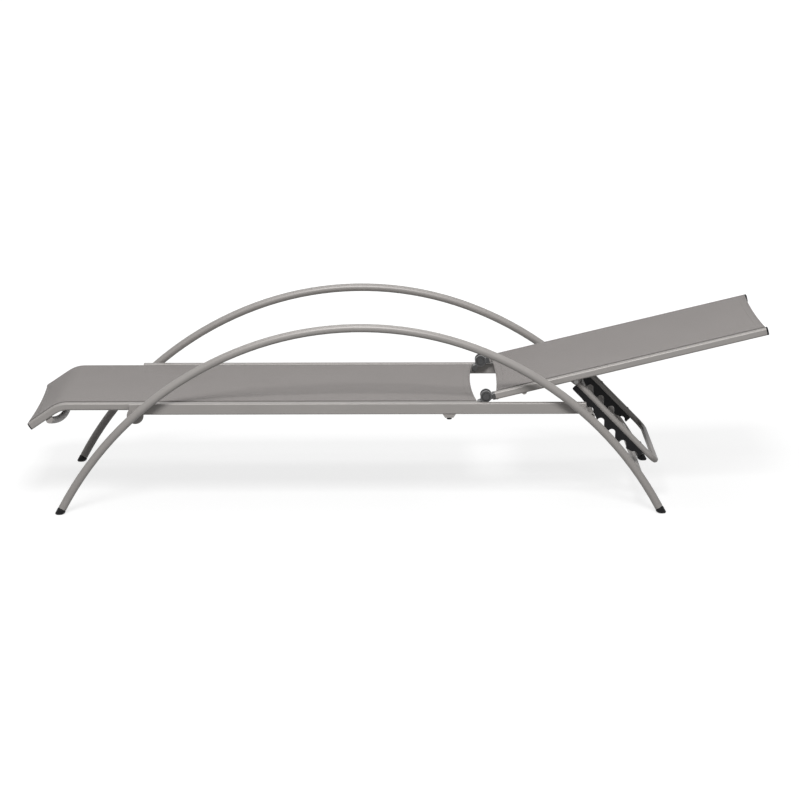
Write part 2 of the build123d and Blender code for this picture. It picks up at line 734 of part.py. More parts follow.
# racks: toothed bars under the prop's two tubes, their notches open downwards
with BuildPart() as rack:
    with BuildSketch(prop_side.offset(prop_out - rack_t / 2)) as rack_face:
        with BuildLine():
            Polyline(
                (rack_start, -rack_root),
                (rack_start, -rack_plain),
                (rack_rise_start, -rack_plain),
                (rack_rise_end, -rack_tip),
                (notch_first + tip_lead, -rack_tip),
                (notch_first + tip_lead + tip_slope, -tooth_tip),
                (notch_last - tip_trail - tip_slope, -tooth_tip),
                (notch_last - tip_trail, -rack_tip),
                (rack_end, -rack_tip),
                (rack_end, -rack_root),
                close=True,
            )
        make_face()
        fillet(rack_face.vertices().sort_by_distance((rack_start, -rack_plain, 0))[0], rack_corner_r)
        with Locations(*[(notch_first + i * notch_pitch, -notch_depth) for i in range(notch_count)]):
            Circle(notch_r, mode=Mode.SUBTRACT)
            Rectangle(overrun / 2, 2 * notch_r, rotation=-notch_lean, align=(Align.MIN, Align.CENTER),
                      mode=Mode.SUBTRACT)
        tips = [v for v in rack_face.vertices() if v.Y < -(rack_plain + rack_tip) / 2]
        fillet(tips, tooth_tip_r)
    extrude(amount=rack_t)
    add(prop_core.part, mode=Mode.SUBTRACT)
save_pair(rack, "rack")

print("arch feet at", round(mid_x - arch_x(0), 1), round(mid_x + arch_x(0), 1))
print("hinge axis", round(mid_x + hinge_x, 3), hinge_z)
print("prop pivot", round(prop_along, 2), "along the back,", [round(v, 3) for v in tuple(prop_pivot)])
print("catch bar", [round(v, 3) for v in tuple(catch_at)])
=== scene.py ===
"""Dresses the sun lounger: coat, slings, moulded plastics, weld beads, rivets and the studio."""
import json
from math import atan2, cos, dist, pi, radians, sin, sqrt, tan

import bpy
from mathutils import Matrix, Vector


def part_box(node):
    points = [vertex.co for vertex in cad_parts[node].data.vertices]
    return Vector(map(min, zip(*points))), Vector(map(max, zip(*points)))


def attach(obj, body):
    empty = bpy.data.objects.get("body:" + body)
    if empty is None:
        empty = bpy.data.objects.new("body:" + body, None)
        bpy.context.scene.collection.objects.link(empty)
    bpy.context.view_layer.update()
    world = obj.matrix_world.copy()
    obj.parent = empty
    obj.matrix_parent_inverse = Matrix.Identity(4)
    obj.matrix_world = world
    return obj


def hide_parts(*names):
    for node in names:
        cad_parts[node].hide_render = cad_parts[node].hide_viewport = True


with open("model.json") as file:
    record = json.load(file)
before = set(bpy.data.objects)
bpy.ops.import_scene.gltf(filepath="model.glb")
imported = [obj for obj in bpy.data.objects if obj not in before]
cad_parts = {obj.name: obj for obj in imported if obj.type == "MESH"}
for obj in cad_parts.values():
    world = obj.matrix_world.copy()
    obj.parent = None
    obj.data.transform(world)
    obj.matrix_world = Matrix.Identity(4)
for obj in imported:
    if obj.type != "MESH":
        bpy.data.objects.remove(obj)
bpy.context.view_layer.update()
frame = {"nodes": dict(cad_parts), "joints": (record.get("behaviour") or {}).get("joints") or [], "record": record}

bl_info = {
    "name": "Sun Lounger Dressing",
    "version": (1, 0, 0),
    "blender": (4, 5, 0),
    "location": "View3D > Sidebar > Lounger",
    "description": "Finishes, slings and studio for a reclining sun lounger",
    "category": "Object",
}

# finishes
PIGMENT_FINENESS = 2.4  # pigment specks in the width of one dimple of the coat
PAINTED_SLOT_SHADOW_WIDTH = 0.009  # width of the painted shadow of the rail's slot on a cloth's edge, from the slot inwards

# slings, in metres or as shares
CROSS_STEPS = 12  # steps of the cloth's cross line from its middle to a rail
EDGE_TURNS = (0.0, 22.5, 45.0, 67.5, 90.0)  # degrees at which the edge's roll has points
SLOPE_ROUNDS = 8  # rounds that settle the slope of the back's cloth
END_SAG, MIDDLE_SAG = 0.55, 0.45  # sag at a sling's ends, and what its middle adds
HEM_ROWS = (0.2, 0.5, 0.8)  # rows of points on a hem, as shares of its width
HEM_STEP = 0.0012  # length over which a hem thins to one layer
HEM_EXTRA = 0.9  # what a hem's second layer adds to the first
FOLD_POINT, FOLD_ROUND = 0.0006, 0.0016  # rows of points where a hem's folded end is rounded
FOLD_TOP = 0.9  # how far that rounding lowers the cloth's top, in thicknesses
FOLD_UNDER = 0.4  # how far it raises the underside, as a share of the same
SEAM_SHARES = (0.22, 0.86)  # places of a hem's two seams across its width
SEAM_MARGIN = 0.002  # distance from a seam's end to the rail
STITCH_START, STITCH_STOP = 0.12, 0.88  # where a stitch shows, as shares of its pitch
STITCH_STEPS, STITCH_SIDES = 6, 6  # steps along a stitch, and sides of its thread
STITCH_THIN = 0.35  # thickness of a stitch's ends, as a share of its middle's
STITCH_RISE, STITCH_DIP = 0.42, 0.12  # how far its middle stands up and its ends dip, in threads

# weld beads
BEAD_SIDES = 8  # sides of a bead's cross section
RIPPLE_RINGS = 4  # rings of points in one ripple
LEAST_RINGS = 24  # rings of points round a thin tube
BEAD_SWELL = 0.04  # how much a bead grows along each ripple
LEAST_REACH = 0.75  # how far an arch's side curves away at most, as a share of its radius

# rivets: half section of a head, as shares of its radius and height, from its foot to its hole
RIVET_SECTION = (
    (1.0, -0.2), (1.0, 0.25), (0.93, 0.55), (0.72, 0.86),
    (0.45, 1.0), (0.33, 0.98), (0.29, 0.8), (0.27, 0.35))
RIVET_SIDES = 20  # points round a head
SEARCH_START = 4  # distance outside a tube from which its surface is looked for, in radii

# studio, in metres
FLOOR_HALF = 40.0  # half the length of the floor's side
FLOOR_DROP = 0.0004  # keeps the floor just clear of the feet's soles
FLOOR_GREY = (0.25, 0.25, 0.25, 1.0)
WHITE = (1.0, 1.0, 1.0, 1.0)
OVERHEAD_PLACE, OVERHEAD_SIZE = (0.0, 0.3, 3.6), (4.2, 1.2)
FRONT_PLACE, FRONT_SIZE = (-0.2, -3.9, 3.9), (1.5, 1.5)
LIT_POINT = (0.0, 0.0, 0.3)  # what both softboxes face
SENSOR_WIDTH = 36.0  # in millimetres
VIEW_END = 200.0  # how far the camera sees


class LoungerCoatSettings(bpy.types.PropertyGroup):
    """Powder coat of the tubes, beams and rails"""

    colour: bpy.props.FloatVectorProperty(
        name="Coat colour", description="Warm grey of the powder coat", subtype="COLOR",
        size=3, min=0.0, max=1.0, default=(0.300, 0.284, 0.272))
    roughness: bpy.props.FloatProperty(
        name="Coat roughness", description="Satin gloss of the cured coat",
        min=0.0, max=1.0, default=0.43)
    metal_share: bpy.props.FloatProperty(
        name="Metal flake", description="How metallic the pigment looks",
        min=0.0, max=1.0, default=0.12)
    grain: bpy.props.FloatProperty(
        name="Coat grain", description="Size of the coat's orange peel", subtype="DISTANCE",
        min=0.0002, default=0.0011)


class LoungerSlingSettings(bpy.types.PropertyGroup):
    """Woven slings of the seat and the back"""

    colour: bpy.props.FloatVectorProperty(
        name="Yarn colour", description="Grey of the coated yarn", subtype="COLOR",
        size=3, min=0.0, max=1.0, default=(0.255, 0.238, 0.230))
    yarn_pitch: bpy.props.FloatProperty(
        name="Yarn pitch", description="Distance between two yarns", subtype="DISTANCE",
        min=0.0003, default=0.00115)
    thickness: bpy.props.FloatProperty(
        name="Cloth thickness", description="One layer of cloth", subtype="DISTANCE",
        min=0.0003, default=0.0012)
    sag: bpy.props.FloatProperty(
        name="Sag", description="How far the stretched cloth hangs along its middle",
        subtype="DISTANCE", min=0.0, default=0.0035)
    hem_width: bpy.props.FloatProperty(
        name="Hem width", description="Turned and sewn hem at each end of a sling",
        subtype="DISTANCE", min=0.002, default=0.022)
    stitch_length: bpy.props.FloatProperty(
        name="Stitch length", description="One stitch of the hems' seams", subtype="DISTANCE",
        min=0.001, default=0.0042)
    thread: bpy.props.FloatProperty(
        name="Thread thickness", description="Sewing thread of the hems", subtype="DISTANCE",
        min=0.0001, default=0.0007)
    drop_angle: bpy.props.FloatProperty(
        name="Foot drop", description="Slope of the seat at the foot end", subtype="ANGLE",
        default=radians(34))
    drop_bend: bpy.props.FloatProperty(
        name="Foot bend radius", description="Bend of the cloth where the foot end drops",
        subtype="DISTANCE", min=0.01, default=0.0812)
    channel_depth: bpy.props.FloatProperty(
        name="Depth into the channel",
        description="From the cloth's top to the bottom of its corded edge",
        subtype="DISTANCE", min=0.002, default=0.0099)
    edge_roll: bpy.props.FloatProperty(
        name="Edge roll", description="Radius at which the cloth turns down into the rail's slot",
        subtype="DISTANCE", min=0.0005, default=0.0014)
    row_step: bpy.props.FloatProperty(
        name="Row step", description="Distance between rows of points along the cloth",
        subtype="DISTANCE", min=0.002, default=0.012)
    seat_hollow: bpy.props.FloatVectorProperty(
        name="Seat hollows",
        description="How deep the seat's rear end and foot end are cut hollow",
        unit="LENGTH", size=2, default=(0.0105, 0.006))
    back_hollow: bpy.props.FloatVectorProperty(
        name="Back hollows",
        description="How deep the back's lower end and head end are cut hollow",
        unit="LENGTH", size=2, default=(0.006, 0.004))


class LoungerWeldSettings(bpy.types.PropertyGroup):
    """Weld beads of the cross tubes and spacers"""

    bead: bpy.props.FloatProperty(
        name="Bead radius", description="Half the width of a bead", subtype="DISTANCE",
        min=0.0003, default=0.0009)
    ripple: bpy.props.FloatProperty(
        name="Ripple", description="Distance between two ripples", subtype="DISTANCE",
        min=0.0005, default=0.0022)
    leg_bend: bpy.props.FloatProperty(
        name="Leg bend", description="Radius at which an arch's leg is bent",
        subtype="DISTANCE", min=0.1, default=0.933)
    spacer_height: bpy.props.FloatProperty(
        name="Front spacer height",
        description="Height of the front spacers' middle over the floor",
        subtype="DISTANCE", min=0.0, default=0.2719)
    catch_offset: bpy.props.FloatProperty(
        name="Catch bar offset",
        description="Distance of the catch bar behind the arches' middle line",
        subtype="DISTANCE", default=0.00544)


class LoungerRivetSettings(bpy.types.PropertyGroup):
    """Blind rivets that hold the racks and the hinge plugs"""

    head_radius: bpy.props.FloatProperty(
        name="Head radius", description="Half the width of a rivet's head", subtype="DISTANCE",
        min=0.001, default=0.0032)
    head_height: bpy.props.FloatProperty(
        name="Head height", description="How far a rivet's head stands proud",
        subtype="DISTANCE", min=0.0003, default=0.0012)
    set_in: bpy.props.FloatProperty(
        name="Set in", description="Distance of a plug's rivet from the end of its rail",
        subtype="DISTANCE", min=0.003, default=0.0075)
    rack_shares: bpy.props.FloatVectorProperty(
        name="Rivets on a rack",
        description="Places of a rack's rivets, as shares of its reach from the prop's pin",
        size=3, default=(0.12, 0.5, 0.88))


class LoungerPlasticSettings(bpy.types.PropertyGroup):
    """Moulded black parts"""

    black: bpy.props.FloatVectorProperty(
        name="Black plastic", description="Feet, caps and racks", subtype="COLOR",
        size=3, min=0.0, max=1.0, default=(0.008, 0.008, 0.009))
    hinge: bpy.props.FloatVectorProperty(
        name="Hinge plastic", description="Hinge brackets, knuckles and caps", subtype="COLOR",
        size=3, min=0.0, max=1.0, default=(0.034, 0.034, 0.035))
    roughness: bpy.props.FloatProperty(
        name="Plastic roughness", description="Gloss of the moulded parts",
        min=0.0, max=1.0, default=0.48)
    # the two radii below place the hinges' painted shade round each cap and their painted highlight on the rim
    cap_radius: bpy.props.FloatProperty(
        name="Cap radius", description="Round groove at the edge of each hinge cap",
        subtype="DISTANCE", min=0.001, default=0.0100)
    rim_radius: bpy.props.FloatProperty(
        name="Rim radius", description="Outer rim of the hinges", subtype="DISTANCE",
        min=0.001, default=0.0154)


class LoungerStudioSettings(bpy.types.PropertyGroup):
    """Camera and light"""

    camera_place: bpy.props.FloatVectorProperty(
        name="Camera place", description="Where the camera stands", subtype="TRANSLATION",
        unit="LENGTH", size=3, default=(-0.0407, -8.0543, 2.0350))
    look_down: bpy.props.FloatProperty(
        name="Look down", description="Tilt of the view below level", subtype="ANGLE",
        default=radians(12.533))
    look_right: bpy.props.FloatProperty(
        name="Look right", description="Turn of the view towards the head end", subtype="ANGLE",
        default=radians(0.35))
    camera_roll: bpy.props.FloatProperty(
        name="Camera roll", description="Turn about the line of sight", subtype="ANGLE",
        default=radians(0.055))
    lens: bpy.props.FloatProperty(
        name="Lens", description="Focal length on a 36 mm sensor", subtype="DISTANCE_CAMERA",
        default=134.56)
    overhead: bpy.props.FloatProperty(
        name="Overhead light", description="Power of the softbox above", subtype="POWER",
        min=0.0, default=45.0)
    front: bpy.props.FloatProperty(
        name="Front light", description="Power of the softbox at the camera's side",
        subtype="POWER", min=0.0, default=265.0)
    surround: bpy.props.FloatProperty(
        name="Surround", description="Light that comes from all round", min=0.0, default=0.12)


def settings_of(group):
    """one of the lounger's settings groups"""
    return getattr(bpy.context.scene, f"lounger_{group}")


def nodes_in_slot(slot):
    """CAD nodes that the record gives this finish"""
    return [part["node"] for part in frame["record"]["subparts"] if part["material_slot"] == slot]


def joint_place(name):
    """middle of a joint at rest"""
    return Vector(next(joint["pos_m"] for joint in frame["joints"] if joint["name"] == name))


def set_inputs(tree, node, values):
    """gives a node's sockets their plain values and links, by name"""
    for name, value in values.items():
        if isinstance(value, bpy.types.NodeSocket):
            tree.links.new(value, node.inputs[name])
        else:
            node.inputs[name].default_value = value


def add_node(tree, kind, values=None, settings=None):
    """one shader node, with its settings, plain values and links"""
    made = tree.nodes.new(kind)
    for name, value in (settings or {}).items():
        setattr(made, name, value)
    set_inputs(tree, made, values or {})
    return made


def calculate(tree, operation, first, second=None):
    """result of one maths step on sockets or numbers"""
    values = {0: first} if second is None else {0: first, 1: second}
    return add_node(tree, "ShaderNodeMath", values, {"operation": operation}).outputs[0]


def vector_length(tree, vector):
    """length of a vector"""
    made = add_node(tree, "ShaderNodeVectorMath", {0: vector}, {"operation": "LENGTH"})
    return made.outputs["Value"]


def spread(tree, value, low, high, start=0.0, stop=1.0):
    """number that runs from low to high while a value runs from start to stop"""
    return add_node(tree, "ShaderNodeMapRange", {
        "Value": value, "From Min": start, "From Max": stop,
        "To Min": low, "To Max": high}).outputs["Result"]


def object_place(tree):
    """place on the piece itself"""
    return add_node(tree, "ShaderNodeTexCoord").outputs["Object"]


def drawn_out(tree, place, scale):
    """place scaled by a different amount in each direction, for streaks and lines"""
    return add_node(tree, "ShaderNodeMapping", {"Vector": place, "Scale": scale}).outputs["Vector"]


def noise(tree, place, scale, detail, roughness=0.5):
    """soft uneven pattern"""
    return add_node(tree, "ShaderNodeTexNoise", {
        "Vector": place, "Scale": scale, "Detail": detail, "Roughness": roughness}).outputs["Fac"]


def ramp(tree, pattern, low, high):
    """colour that a pattern runs from low to high"""
    made = add_node(tree, "ShaderNodeValToRGB", {"Fac": pattern})
    made.color_ramp.elements[0].color = (*low, 1.0)
    made.color_ramp.elements[1].color = (*high, 1.0)
    return made.outputs["Color"]


def mottled(tree, pattern, colour, darker, lighter):
    """colour that a pattern runs from a darker to a lighter share of itself"""
    shades = [[min(1.0, part * share) for part in colour] for share in (darker, lighter)]
    return ramp(tree, pattern, *shades)


def shaded(tree, colour, shade):
    """colour multiplied by a shade"""
    return add_node(tree, "ShaderNodeMixRGB", {"Fac": 1.0, "Color1": colour, "Color2": shade},
                    {"blend_type": "MULTIPLY"}).outputs["Color"]


def relief(tree, height, strength, depth):
    """fine relief that follows a pattern"""
    return add_node(tree, "ShaderNodeBump", {
        "Strength": strength, "Distance": depth, "Height": height}).outputs["Normal"]


def start_finish(name):
    """new material with its tree and its shader"""
    material = bpy.data.materials.new(name)
    material.use_nodes = True
    tree = material.node_tree
    return material, tree, tree.nodes["Principled BSDF"]


def powder_coat(settings, name="warm_grey_powder_coat", duller=0.0, clear=0.05):
    """satin powder coat: orange peel, faint cloudiness and fine pigment"""
    material, tree, shader = start_finish(name)
    place = object_place(tree)
    clouds = noise(tree, place, scale=7.0, detail=4.0, roughness=0.55)
    peel = noise(tree, place, scale=1.0 / settings.grain, detail=2.0)
    pigment = add_node(tree, "ShaderNodeTexVoronoi", {
        "Vector": place, "Scale": PIGMENT_FINENESS / settings.grain}).outputs["Distance"]
    tint = mottled(tree, clouds, settings.colour, darker=0.93, lighter=1.07)
    roughness = settings.roughness + duller
    set_inputs(tree, shader, {
        "Base Color": shaded(tree, tint, spread(tree, pigment, low=1.05, high=0.93)),
        "Roughness": spread(tree, clouds, low=roughness - 0.05, high=roughness + 0.06),
        "Normal": relief(tree, peel, strength=0.13, depth=settings.grain * 0.08),
        "Metallic": settings.metal_share,
        "Specular IOR Level": 0.25,
        "Coat Weight": clear,
        "Coat Roughness": 0.25,
    })
    return material


def moulded_plastic(name, colour, roughness, gleam=0.18, grain=0.0009):
    """moulded plastic: spark-eroded grain, flow clouds and a soft sheen"""
    material, tree, shader = start_finish(name)
    place = object_place(tree)
    flow = noise(tree, place, scale=26.0, detail=3.0)
    grit = noise(tree, place, scale=1.0 / grain, detail=3.0)
    set_inputs(tree, shader, {
        "Base Color": mottled(tree, flow, colour, darker=0.75, lighter=1.3),
        "Roughness": spread(tree, grit, low=roughness - 0.08, high=roughness + 0.12),
        "Normal": relief(tree, grit, strength=0.3, depth=grain * 0.12),
        "Specular IOR Level": gleam,
    })
    return material


def painted_ring_light(tree, radius, ring, shade, full, gone):
    """painted light along a ring, darker below a share of 1 and lighter above it: full up to one distance from the
    ring, and gone at another
    """
    away = calculate(tree, "ABSOLUTE", calculate(tree, "SUBTRACT", radius, ring))
    return spread(tree, away, low=shade, high=1.0, start=full, stop=gone)


def hinge_plastic(plastic):
    """glossier moulding, with painted shade in the groove round each cap and a painted highlight at the hinge's
    rim
    """
    material = moulded_plastic("hinge_moulding", plastic.hinge, plastic.roughness - 0.2, gleam=0.55)
    tree = material.node_tree
    shader = tree.nodes["Principled BSDF"]
    axis = joint_place("back_recline")
    split = add_node(tree, "ShaderNodeSeparateXYZ", {"Vector": object_place(tree)})
    from_axis = add_node(tree, "ShaderNodeCombineXYZ", {
        "X": calculate(tree, "SUBTRACT", split.outputs["X"], axis.x),
        "Z": calculate(tree, "SUBTRACT", split.outputs["Z"], axis.z)})
    radius = vector_length(tree, from_axis.outputs["Vector"])
    # painted shade round each cap's edge, and a painted highlight where the rim's top faces the light
    groove = painted_ring_light(tree, radius, plastic.cap_radius, shade=0.25, full=0.0006, gone=0.0016)
    painted_rim_highlight = painted_ring_light(tree, radius, plastic.rim_radius, shade=3.2, full=0.0003, gone=0.0012)
    moulded = shader.inputs["Base Color"].links[0].from_socket
    shade = calculate(tree, "MULTIPLY", groove, painted_rim_highlight)
    set_inputs(tree, shader, {"Base Color": shaded(tree, moulded, shade)})
    return material


def brushed_steel():
    """pin steel, turned, with fine lines round the pin"""
    material, tree, shader = start_finish("turned_steel")
    place = drawn_out(tree, object_place(tree), (60.0, 5200.0, 60.0))
    lines = noise(tree, place, scale=1.0, detail=3.0)
    set_inputs(tree, shader, {
        "Base Color": ramp(tree, lines, low=(0.13, 0.13, 0.13), high=(0.26, 0.255, 0.25)),
        "Roughness": spread(tree, lines, low=0.24, high=0.42),
        "Metallic": 1.0,
    })
    return material


def woven_sling(settings, width):
    """plain weave of coated yarn, laid out by the cloth's own flat coordinates, with painted shade in the hollows
    between yarns and a painted shadow of the rail's slot along each edge
    """
    material, tree, shader = start_finish("woven_sling")
    flat = add_node(tree, "ShaderNodeUVMap", settings={"uv_map": "cloth"}).outputs["UV"]
    split = add_node(tree, "ShaderNodeSeparateXYZ", {"Vector": flat})

    def wave(direction):
        turns = calculate(tree, "MULTIPLY", split.outputs[direction], pi / settings.yarn_pitch)
        return calculate(tree, "SINE", turns)

    along, across = wave("X"), wave("Y")
    weft_on_top = calculate(tree, "GREATER_THAN", calculate(tree, "MULTIPLY", along, across), 0.0)
    height = add_node(tree, "ShaderNodeMix", {
        "Factor": weft_on_top,
        "A": calculate(tree, "ABSOLUTE", across),
        "B": calculate(tree, "ABSOLUTE", along)}).outputs["Result"]
    clouds = noise(tree, flat, scale=5.0, detail=5.0, roughness=0.6)
    streaks = noise(tree, drawn_out(tree, flat, (3.0, 420.0, 1.0)), scale=1.0, detail=2.0)
    yarn_shade = spread(tree, streaks, low=0.94, high=1.06)
    # painted shade: the weave is darker where a yarn dips under its neighbours
    painted_weave_shade = spread(tree, height, low=0.62, high=1.12)
    # painted shadow of the rail's slot: the cloth darkens over the last stretch before each edge
    to_far_edge = calculate(tree, "SUBTRACT", width, split.outputs["Y"])
    to_edge = calculate(tree, "MINIMUM", split.outputs["Y"], to_far_edge)
    slot = settings.channel_depth
    painted_slot_shadow = spread(tree, to_edge, low=0.6, high=1.0, start=slot, stop=slot + PAINTED_SLOT_SHADOW_WIDTH)
    shade = calculate(tree, "MULTIPLY", yarn_shade, painted_weave_shade)
    shade = calculate(tree, "MULTIPLY", shade, painted_slot_shadow)
    tint = mottled(tree, clouds, settings.colour, darker=0.95, lighter=1.06)
    set_inputs(tree, shader, {
        "Base Color": shaded(tree, tint, shade),
        "Roughness": spread(tree, height, low=0.78, high=0.56),
        "Normal": relief(tree, height, strength=0.35, depth=settings.yarn_pitch * 0.18),
        "Specular IOR Level": 0.15,
    })
    return material


def sewing_thread(settings):
    """thread of the hems, a shade darker than the cloth"""
    material, tree, shader = start_finish("sewing_thread")
    twist = noise(tree, object_place(tree), scale=2600.0, detail=1.0)
    set_inputs(tree, shader, {
        "Base Color": mottled(tree, twist, settings.colour, darker=0.55, lighter=0.85),
        "Roughness": 0.7,
    })
    return material


def finish_nodes(names, material):
    """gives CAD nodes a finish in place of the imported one"""
    for name in names:
        slots = frame["nodes"][name].data.materials
        slots.clear()
        slots.append(material)


def new_piece(name, verts, faces, body, material, slot):
    """smooth mesh object made of points and faces, riding on a body"""
    mesh = bpy.data.meshes.new(name)
    mesh.from_pydata(verts, [], faces)
    mesh.validate()
    mesh.materials.append(material)
    for face in mesh.polygons:
        face.use_smooth = True
    piece = bpy.data.objects.new(name, mesh)
    bpy.context.scene.collection.objects.link(piece)
    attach(piece, body)
    return piece


def join_shapes(shapes):
    """one list of points and one of faces from several shapes"""
    verts, faces = [], []
    for some_verts, some_faces in shapes:
        first = len(verts)
        verts += some_verts
        faces += [tuple(first + corner for corner in face) for face in some_faces]
    return verts, faces


def ring_points(centre, first, second, radius, sides):
    """points of a ring round a centre, from one direction towards another"""
    turns = [2 * pi * side / sides for side in range(sides)]
    return [centre + radius * (first * cos(turn) + second * sin(turn)) for turn in turns]


def ring_faces(rings, sides, left_handed=False):
    """faces of a form that is made of rings of points and closed at both ends"""
    faces = []
    for ring in range(rings - 1):
        for side in range(sides):
            a, b = ring * sides + side, ring * sides + (side + 1) % sides
            others = (b, b + sides, a + sides)
            faces.append((a, *(others[::-1] if left_handed else others)))
    start = tuple(range(sides))
    stop = tuple((rings - 1) * sides + side for side in range(sides))
    return faces + ([start, stop[::-1]] if left_handed else [start[::-1], stop])


def sheet_faces(rows, columns):
    """faces of a sheet whose top comes first and whose underside follows, with its four edges"""
    under = rows * columns
    faces = []
    for column in range(columns - 1):
        for row in range(rows - 1):
            a, b = column * rows + row, (column + 1) * rows + row
            faces.append((a, a + 1, b + 1, b))
            faces.append((a + under, b + under, b + 1 + under, a + 1 + under))
        for row, flip in ((0, False), (rows - 1, True)):
            a, b = column * rows + row, (column + 1) * rows + row
            quad = (a, b, b + under, a + under)
            faces.append(quad[::-1] if flip else quad)
    for column, flip in ((0, True), (columns - 1, False)):
        for row in range(rows - 1):
            a = column * rows + row
            quad = (a, a + 1, a + 1 + under, a + under)
            faces.append(quad[::-1] if flip else quad)
    return faces


def seat_run(settings):
    """length of the seat cloth's top line, and its place and upward direction at each length"""
    low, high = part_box("seat_sling")
    angle, radius = settings.drop_angle, settings.drop_bend
    tip = Vector((low.x, 0.0, low.z + settings.channel_depth * cos(angle)))
    corner_x = tip.x + (high.z - tip.z) / tan(angle)
    trim = radius * tan(angle / 2)
    flat = high.x - corner_x - trim
    bend = radius * angle
    slope = (high.z - tip.z) / sin(angle) - trim
    centre = Vector((corner_x + trim, 0.0, high.z - radius))

    def place(along):
        if along <= flat:
            return Vector((high.x - along, 0.0, high.z)), Vector((0.0, 0.0, 1.0))
        turn = min(along - flat, bend) / radius
        up = Vector((-sin(turn), 0.0, cos(turn)))
        down_slope = max(0.0, along - flat - bend) * Vector((-cos(angle), 0.0, -sin(angle)))
        return centre + radius * up + down_slope, up

    return flat + bend + slope, place


def back_run(settings):
    """length of the back cloth's top line, and its place and upward direction at each length"""
    low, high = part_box("back_sling")
    depth = settings.channel_depth
    rise = 0.0
    for _ in range(SLOPE_ROUNDS):
        rise = atan2(high.z - low.z - depth * cos(rise), high.x - low.x - depth * sin(rise))
    start = Vector((low.x, 0.0, low.z + depth * cos(rise)))
    along_back, up = Vector((cos(rise), 0.0, sin(rise))), Vector((-sin(rise), 0.0, cos(rise)))

    def place(along):
        return start + along * along_back, up

    return (high.z - start.z) / sin(rise), place


def rail_distance():
    """distance from the lounger's middle to the rails that hold the slings"""
    return -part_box("seat_rail_left")[1].y


class Stretch:
    """where a sling's cloth lies: its run along the rails, its hollow ends and its hang"""

    def __init__(self, run, hollows, settings):
        self.length, self.place = run
        self.hollows = hollows
        self.settings = settings
        self.half_span = rail_distance()

    def middle_share(self, across):
        """1 along the middle and 0 at the rails, as cloth hangs between them"""
        return max(0.0, 1.0 - (across / self.half_span) ** 2)

    def ends(self, across):
        """where the cloth starts and stops along its run"""
        share = self.middle_share(across)
        return self.hollows[0] * share, self.length - self.hollows[1] * share

    def hang(self, across, along):
        """how far the cloth hangs below the rails' level"""
        shape = END_SAG + MIDDLE_SAG * sin(pi * along / self.length)
        return self.settings.sag * self.middle_share(across) * shape


def edge_line(settings):
    """cloth from its corded edge to the rail's level: distance from the middle, and height"""
    low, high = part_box("seat_keder_left")
    channel = -(low.y + high.y) / 2 + settings.thickness / 2
    roll = settings.edge_roll
    line = [(channel, -settings.channel_depth), (channel, -settings.channel_depth / 2)]
    for turn in EDGE_TURNS:
        line.append((channel - roll + roll * cos(radians(turn)), -roll + roll * sin(radians(turn))))
    return line


def cross_line(settings):
    """cloth from one corded edge to the other: place across, and height over the rails' level"""
    half_span = rail_distance()
    turns = [radians(90.0 * step / CROSS_STEPS) for step in range(CROSS_STEPS - 1, -1, -1)]
    inner = [(half_span * sin(turn), 0.0) for turn in turns]
    half = [(-out, up) for out, up in edge_line(settings) + inner]
    return half + [(-across, up) for across, up in reversed(half[:-1])]


def lengths_along(line):
    """length of a line up to each of its points"""
    lengths = [0.0]
    for point, following in zip(line, line[1:]):
        lengths.append(lengths[-1] + dist(point, following))
    return lengths


def hem_steps(settings):
    """distances from a sling's end at which its hem has rows of points"""
    hem, half_step = settings.hem_width, HEM_STEP / 2
    shares = [hem * share for share in HEM_ROWS]
    return [0.0, FOLD_POINT, FOLD_ROUND, *shares, hem - half_step, hem + half_step]


def stretched_sling(name, node, stretch, body, material):
    """cloth stretched between two rails, with its ends cut hollow and its hems turned under"""
    settings = stretch.settings
    line = cross_line(settings)
    widths = lengths_along(line)
    hem = hem_steps(settings)
    middle_rows = round((stretch.length - 2 * hem[-1]) / settings.row_step)

    def rows_at(across):
        start, end = stretch.ends(across)
        first, last = start + hem[-1], end - hem[-1]
        rows = [(start + step, step) for step in hem]
        for row in range(1, middle_rows):
            rows.append((first + (last - first) * row / middle_rows, hem[-1]))
        return rows + [(end - step, step) for step in reversed(hem)]

    def layers(inset):
        turned = 1.0 - min(1.0, max(0.0, (inset - settings.hem_width) / HEM_STEP + 0.5))
        return settings.thickness * (1.0 + HEM_EXTRA * turned)

    top, bottom, flat = [], [], []
    for width, (across, up) in zip(widths, line):
        for along, inset in rows_at(across):
            spot, outward = stretch.place(along)
            hang = stretch.hang(across, along)
            surface = spot + Vector((0.0, across, 0.0)) + outward * (up - hang)
            if up > -settings.edge_roll:
                fold = settings.thickness * FOLD_TOP * max(0.0, 1.0 - inset / FOLD_ROUND) ** 2
                top.append(surface - outward * fold)
                bottom.append(surface - outward * layers(inset) + outward * fold * FOLD_UNDER)
            else:
                inwards = Vector((0.0, 1.0 if across < 0 else -1.0, 0.0))
                top.append(surface)
                bottom.append(surface + inwards * settings.thickness)
            flat.append((along, width))
    faces = sheet_faces(len(rows_at(0.0)), len(line))
    piece = new_piece(name, top + bottom, faces, body, material, "sling_mesh")
    lay_out_cloth(piece.data, flat + flat)
    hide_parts(node)
    return piece, widths[-1], stretch.length


def lay_out_cloth(mesh, flat):
    """stores each point's place on the flat cloth, in metres, for the weave"""
    layer = mesh.uv_layers.new(name="cloth")
    for loop in mesh.loops:
        layer.data[loop.index].uv = flat[loop.vertex_index]


